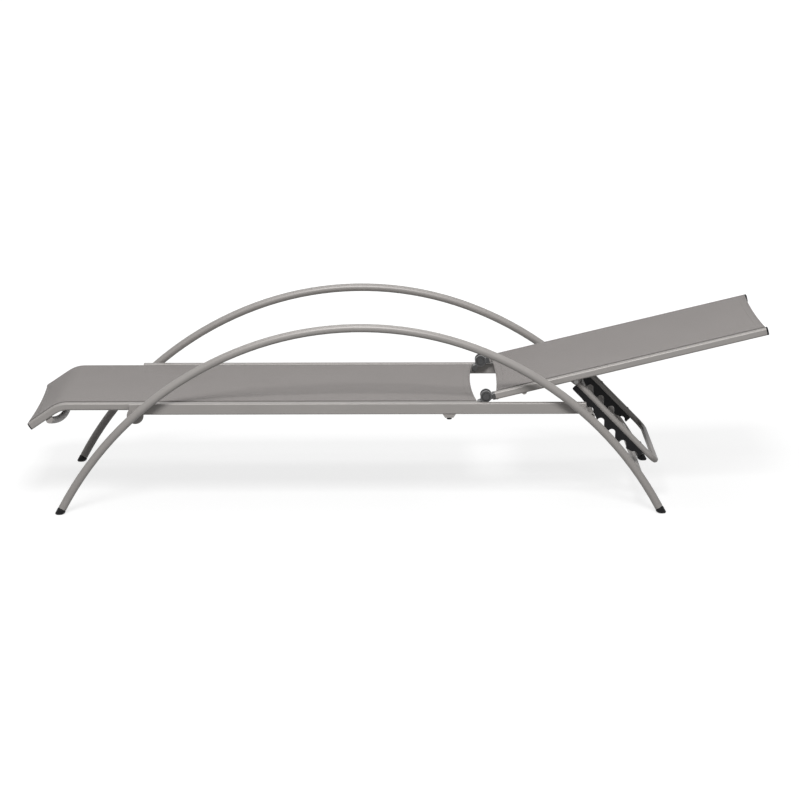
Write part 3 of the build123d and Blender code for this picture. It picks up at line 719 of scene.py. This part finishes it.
def stitch_shape(stretch, start, stop, end, inset):
    """points and faces of one stitch, which stands up in its middle and dips at its ends"""
    thread = stretch.settings.thread
    verts = []
    for step in range(STITCH_STEPS + 1):
        share = step / STITCH_STEPS
        across = start + (stop - start) * share
        along = stretch.ends(across)[end] + (-inset if end else inset)
        spot, outward = stretch.place(along)
        middle = spot + Vector((0.0, across, 0.0)) - outward * stretch.hang(across, along)
        thick = thread / 2 * (STITCH_THIN + (1.0 - STITCH_THIN) * sin(pi * share))
        lift = thread * (STITCH_RISE * sin(pi * share) - STITCH_DIP)
        sideways = outward.cross(Vector((0.0, 1.0, 0.0)))
        for side in range(STITCH_SIDES):
            turn = 2 * pi * side / STITCH_SIDES
            height = lift + thick * sin(turn)
            verts.append(middle + outward * height + sideways * thick * cos(turn))
    return verts, ring_faces(STITCH_STEPS + 1, STITCH_SIDES, left_handed=True)


def hem_stitches(name, stretch, body, material):
    """two seams of single stitches across each hem"""
    settings = stretch.settings
    sewn_half = stretch.half_span - SEAM_MARGIN
    count = int(2 * sewn_half / settings.stitch_length)
    pitch = 2 * sewn_half / count
    stitches = []
    for end in (0, 1):
        for share in SEAM_SHARES:
            for stitch in range(count):
                start = -sewn_half + pitch * (stitch + STITCH_START)
                stop = -sewn_half + pitch * (stitch + STITCH_STOP)
                inset = settings.hem_width * share
                stitches.append(stitch_shape(stretch, start, stop, end, inset))
    return new_piece(name, *join_shapes(stitches), body, material, "sling_mesh")


def weld_bead(points, outwards, settings):
    """points and faces of one rippled weld bead round a tube"""
    verts, faces = [], []
    count = len(points)
    for index, (point, outward) in enumerate(zip(points, outwards)):
        tangent = (points[(index + 1) % count] - points[index - 1]).normalized()
        normal = (outward - tangent * outward.dot(tangent)).normalized()
        swell = BEAD_SWELL * (index % RIPPLE_RINGS) / (RIPPLE_RINGS - 1)
        size = settings.bead * (1.0 + swell)
        verts += ring_points(point, normal, tangent.cross(normal), size, BEAD_SIDES)
    for ring in range(count):
        for side in range(BEAD_SIDES):
            a, b = ring * BEAD_SIDES + side, ring * BEAD_SIDES + (side + 1) % BEAD_SIDES
            c, d = (a + BEAD_SIDES) % len(verts), (b + BEAD_SIDES) % len(verts)
            faces.append((a, b, d, c))
    return verts, faces


def bead_turns(tube, settings):
    """turns round a tube at which its bead has rings of points, whole ripples all round"""
    rings = int(2 * pi * tube / settings.ripple * RIPPLE_RINGS) // RIPPLE_RINGS * RIPPLE_RINGS
    count = max(LEAST_RINGS, rings)
    return [2 * pi * index / count for index in range(count)]


def arch_bead(centre, tube, settings, side, bend_centre, offset=0.0):
    """bead round a cross tube where it meets an arch's leg, which is bent about a centre"""
    arch_low, arch_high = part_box("arch_left")
    arch_radius = (arch_high.y - arch_low.y) / 2
    gauge = -(arch_low.y + arch_high.y) / 2
    normal = (centre - bend_centre).normalized()
    tangent = Vector((normal.z, 0.0, -normal.x))
    points, outwards = [], []
    for turn in bead_turns(tube, settings):
        aside = tube * cos(turn) * normal + tube * sin(turn) * tangent
        away = tube * cos(turn) + offset
        reach = sqrt(max(arch_radius**2 - away**2, (arch_radius * LEAST_REACH) ** 2))
        points.append(Vector((centre.x + aside.x, side * (gauge - reach), centre.z + aside.z)))
        outwards.append(aside.normalized() - Vector((0.0, side, 0.0)))
    return weld_bead(points, outwards, settings)


def face_bead(centre, tube, settings, side, out, facing):
    """bead round a tube where it ends on a flat upright face"""
    points, outwards = [], []
    for turn in bead_turns(tube, settings):
        aside = Vector((tube * cos(turn), 0.0, tube * sin(turn)))
        points.append(Vector((centre.x, side * out, centre.z)) + aside)
        outwards.append(aside.normalized() + Vector((0.0, side * facing, 0.0)))
    return weld_bead(points, outwards, settings)


def leg_centre(first, second, radius):
    """centre of the arc that bends a rear leg, from two places on it"""
    middle = (first + second) / 2
    chord = second - first
    inwards = Vector((-abs(chord.z), 0.0, -abs(chord.x))).normalized()
    return middle + inwards * sqrt(radius**2 - (chord.length / 2) ** 2)


def node_centre(node):
    """middle of a node's box, seen from the side"""
    low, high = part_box(node)
    return Vector(((low.x + high.x) / 2, 0.0, (low.z + high.z) / 2))


def tube_radius(node):
    """radius of a tube that runs across the lounger"""
    low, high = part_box(node)
    return (high.z - low.z) / 2


def find_surface(node, start, heading):
    """place and outward direction where a straight line first meets a CAD node"""
    holder = frame["nodes"][node]
    inwards = holder.matrix_world.inverted()
    direction = (inwards.to_3x3() @ heading).normalized()
    hit, spot, normal, _ = holder.ray_cast(inwards @ start, direction)
    if not hit:
        raise RuntimeError(f"no surface of {node} on the line")
    return holder.matrix_world @ spot, (holder.matrix_world.to_3x3() @ normal).normalized()


def rivet_head(spot, outward, settings):
    """points and faces of one blind rivet's head, with the hole of its drawn pin"""
    aside = outward.orthogonal().normalized()
    third = outward.cross(aside)
    verts = []
    for out, up in RIVET_SECTION:
        middle = spot + outward * settings.head_height * up
        verts += ring_points(middle, aside, third, settings.head_radius * out, RIVET_SIDES)
    return verts, ring_faces(len(RIVET_SECTION), RIVET_SIDES)


def behind_view(tree):
    """1 where a camera, glossy or transmitted ray looks"""
    rays = add_node(tree, "ShaderNodeLightPath")
    seen = calculate(tree, "MAXIMUM", rays.outputs["Is Camera Ray"], rays.outputs["Is Glossy Ray"])
    return calculate(tree, "MAXIMUM", seen, rays.outputs["Is Transmission Ray"])


def pale_floor():
    """floor under the feet: white further out, and a little less near by, where the shadow lies"""
    half = FLOOR_HALF
    corners = [(-half, -half, 0), (half, -half, 0), (half, half, 0), (-half, half, 0)]
    mesh = bpy.data.meshes.new("floor")
    mesh.from_pydata(corners, [], [(0, 1, 2, 3)])
    floor = bpy.data.objects.new("floor", mesh)
    bpy.context.scene.collection.objects.link(floor)
    floor.location.z = -FLOOR_DROP
    material, tree, shader = start_finish("pale_floor")
    away = vector_length(tree, object_place(tree))
    whiteness = spread(tree, away, low=0.80, high=1.0, start=1.0, stop=3.0)
    set_inputs(tree, shader, {
        "Base Color": FLOOR_GREY,
        "Roughness": 0.9,
        "Specular IOR Level": 0.1,
        "Emission Color": WHITE,
        "Emission Strength": calculate(tree, "MULTIPLY", behind_view(tree), whiteness),
    })
    mesh.materials.append(material)


def surround(studio):
    """even light from all round, white to the camera"""
    world = bpy.data.worlds.new("studio")
    world.use_nodes = True
    tree = world.node_tree
    set_inputs(tree, tree.nodes["Background"], {
        "Color": WHITE,
        "Strength": spread(tree, behind_view(tree), low=studio.surround, high=1.0),
    })
    bpy.context.scene.world = world


def softbox(name, place, size, power):
    """rectangular lamp that faces the lounger"""
    lamp = bpy.data.lights.new(name, "AREA")
    lamp.shape = "RECTANGLE"
    lamp.size, lamp.size_y = size
    lamp.energy = power
    holder = bpy.data.objects.new(name, lamp)
    bpy.context.scene.collection.objects.link(holder)
    holder.location = place
    heading = Vector(LIT_POINT) - Vector(place)
    holder.rotation_euler = heading.to_track_quat("-Z", "Y").to_euler()


class LOUNGER_OT_coat_frame(bpy.types.Operator):
    """Powder coats the arches, beams, rails, cross tubes and prop"""

    bl_idname = "lounger.coat_frame"
    bl_label = "Coat the frame"

    def execute(self, context):
        finish_nodes(nodes_in_slot("frame_coat"), powder_coat(settings_of("coat")))
        return {"FINISHED"}


class LOUNGER_OT_mould_plastics(bpy.types.Operator):
    """Gives feet, caps, racks, cords and hinges their plastic, and the pins their steel"""

    bl_idname = "lounger.mould_plastics"
    bl_label = "Mould the plastics"

    def execute(self, context):
        plastic = settings_of("plastic")
        black_nodes = nodes_in_slot("black_plastic")
        caps = [node for node in black_nodes if node.startswith("hinge_cap")]
        black = moulded_plastic("black_moulding", plastic.black, plastic.roughness)
        cord = moulded_plastic("keder_cord_pvc", plastic.black, roughness=0.6)
        finish_nodes(black_nodes, black)
        finish_nodes(nodes_in_slot("keder_cord"), cord)
        finish_nodes(nodes_in_slot("hinge_plastic") + caps, hinge_plastic(plastic))
        finish_nodes(nodes_in_slot("pin_steel"), brushed_steel())
        return {"FINISHED"}


class LOUNGER_OT_stretch_slings(bpy.types.Operator):
    """Stretches the seat's and the back's cloth between their rails"""

    bl_idname = "lounger.stretch_slings"
    bl_label = "Stretch the slings"

    def execute(self, context):
        cloth = settings_of("sling")
        material = woven_sling(cloth, lengths_along(cross_line(cloth))[-1])
        thread = sewing_thread(cloth)
        over_seat = Stretch(seat_run(cloth), cloth.seat_hollow, cloth)
        seat, seat_width, seat_length = stretched_sling(
            "stretched_seat_sling", "seat_sling", over_seat, "base", material)
        seat_seams = hem_stitches("seat_hem_stitches", over_seat, "base", thread)
        over_back = Stretch(back_run(cloth), cloth.back_hollow, cloth)
        back, back_width, back_length = stretched_sling(
            "stretched_back_sling", "back_sling", over_back, "back", material)
        back_seams = hem_stitches("back_hem_stitches", over_back, "back", thread)
        return {"FINISHED"}


class LOUNGER_OT_lay_welds(bpy.types.Operator):
    """Lays weld beads where cross tubes and spacers meet arches, beams and brackets"""

    bl_idname = "lounger.lay_welds"
    bl_label = "Lay the welds"

    def execute(self, context):
        weld = settings_of("weld")
        coat = powder_coat(settings_of("coat"), "coat_over_weld_beads", duller=0.2, clear=0.0)
        tubes = ("rear_stretcher", "catch_bar", "rear_spacer_left", "front_cross_tube")
        stretcher, catch, spacer, cross = (node_centre(node) for node in tubes)
        stretcher_r, catch_r, spacer_r, cross_r = (tube_radius(node) for node in tubes)
        rear_bend = leg_centre(stretcher, spacer, weld.leg_bend)
        arch_low, arch_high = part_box("arch_left")
        front_x = arch_low.x + arch_high.x - rear_bend.x
        front_bend = Vector((front_x, 0.0, rear_bend.z))
        leg_out = sqrt(weld.leg_bend**2 - (weld.spacer_height - rear_bend.z) ** 2)
        front = Vector((front_x - leg_out, 0.0, weld.spacer_height))
        beam_side = -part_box("side_beam_left")[0].y
        cross_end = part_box("front_cross_tube")[1].y
        beads = []
        for side in (-1, 1):
            beads += [
                arch_bead(stretcher, stretcher_r, weld, side, rear_bend),
                arch_bead(catch, catch_r, weld, side, rear_bend, weld.catch_offset),
                arch_bead(spacer, spacer_r, weld, side, rear_bend),
                arch_bead(front, spacer_r, weld, side, front_bend),
                face_bead(spacer, spacer_r, weld, side, beam_side, facing=1.0),
                face_bead(cross, cross_r, weld, side, cross_end, facing=-1.0),
            ]
        new_piece("frame_weld_beads", *join_shapes(beads), "base", coat, "frame_coat")
        return {"FINISHED"}


class LOUNGER_OT_set_rivets(bpy.types.Operator):
    """Sets the rivets of the racks, on top of the prop, and of the hinge plugs, under the rails"""

    bl_idname = "lounger.set_rivets"
    bl_label = "Set the rivets"

    def execute(self, context):
        rivet = settings_of("rivet")
        steel = brushed_steel()
        pivot = joint_place("prop_swing")
        prop_low, prop_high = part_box("prop_frame")
        rack_low, rack_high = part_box("rack_left")
        gauge = -(rack_low.y + rack_high.y) / 2
        tube = prop_high.y - gauge
        leg = (Vector((prop_high.x - tube, 0.0, prop_low.z + tube)) - pivot).normalized()
        upper = Vector((-leg.z, 0.0, leg.x))
        reach = (Vector((rack_high.x, 0.0, rack_low.z)) - pivot).dot(leg)
        clear = SEARCH_START * tube
        heads = {"prop": [], "back": [], "base": []}
        for side, hand in ((-1, "left"), (1, "right")):
            for share in rivet.rack_shares:
                spot = pivot + leg * reach * share + upper * clear
                above = spot + Vector((0.0, side * gauge, 0.0))
                heads["prop"].append(rivet_head(*find_surface("prop_frame", above, -upper), rivet))
            plugs = (("back", f"back_rail_{hand}", 0), ("base", f"seat_rail_{hand}", 1))
            for body, rail, end in plugs:
                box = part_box(rail)
                across = side * (max(-box[0].y, box[1].y) - 2 * rivet.head_radius)
                along = box[end].x + (-rivet.set_in if end else rivet.set_in)
                below = Vector((along, across, box[0].z - clear))
                upwards = Vector((0.0, 0.0, 1.0))
                heads[body].append(rivet_head(*find_surface(rail, below, upwards), rivet))
        for body, shapes in heads.items():
            new_piece(f"{body}_rivets", *join_shapes(shapes), body, steel, "pin_steel")
        return {"FINISHED"}


class LOUNGER_OT_build_stage(bpy.types.Operator):
    """Puts down the pale floor and sets the lights and the camera"""

    bl_idname = "lounger.build_stage"
    bl_label = "Build the stage"

    def execute(self, context):
        studio = settings_of("studio")
        pale_floor()
        surround(studio)
        softbox("overhead_softbox", OVERHEAD_PLACE, OVERHEAD_SIZE, studio.overhead)
        softbox("front_softbox", FRONT_PLACE, FRONT_SIZE, studio.front)
        camera = bpy.data.objects.new("camera", bpy.data.cameras.new("camera"))
        context.scene.collection.objects.link(camera)
        camera.matrix_world = (
            Matrix.Translation(studio.camera_place)
            @ Matrix.Rotation(-studio.look_right, 4, "Z")
            @ Matrix.Rotation(pi / 2 - studio.look_down, 4, "X")
            @ Matrix.Rotation(-studio.camera_roll, 4, "Z")
        )
        camera.data.lens = studio.lens
        camera.data.sensor_width = SENSOR_WIDTH
        camera.data.clip_end = VIEW_END
        context.scene.camera = camera
        context.scene.view_settings.view_transform = "Standard"
        return {"FINISHED"}


SETTINGS = {
    "lounger_coat": LoungerCoatSettings,
    "lounger_sling": LoungerSlingSettings,
    "lounger_weld": LoungerWeldSettings,
    "lounger_rivet": LoungerRivetSettings,
    "lounger_plastic": LoungerPlasticSettings,
    "lounger_studio": LoungerStudioSettings,
}
OPERATORS = (
    LOUNGER_OT_coat_frame,
    LOUNGER_OT_mould_plastics,
    LOUNGER_OT_stretch_slings,
    LOUNGER_OT_lay_welds,
    LOUNGER_OT_set_rivets,
    LOUNGER_OT_build_stage,
)


class LOUNGER_PT_panel(bpy.types.Panel):
    """Lists the lounger's steps"""

    bl_idname = "LOUNGER_PT_panel"
    bl_label = "Sun Lounger"
    bl_space_type = "VIEW_3D"
    bl_region_type = "UI"
    bl_category = "Lounger"

    def draw(self, context):
        for operator in OPERATORS:
            self.layout.operator(operator.bl_idname)


def register():
    """adds the settings, the steps and the panel"""
    for name, group in SETTINGS.items():
        bpy.utils.register_class(group)
        setattr(bpy.types.Scene, name, bpy.props.PointerProperty(type=group))
    for operator in (*OPERATORS, LOUNGER_PT_panel):
        bpy.utils.register_class(operator)


def unregister():
    """takes away the settings, the steps and the panel"""
    for operator in (LOUNGER_PT_panel, *reversed(OPERATORS)):
        bpy.utils.unregister_class(operator)
    for name, group in reversed(list(SETTINGS.items())):
        delattr(bpy.types.Scene, name)
        bpy.utils.unregister_class(group)


def main():
    """builds the dressed lounger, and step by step"""
    register()
    for operator in OPERATORS:
        group, action = operator.bl_idname.split(".")
        getattr(getattr(bpy.ops, group), action)()


if __name__ == "__main__":
    main()
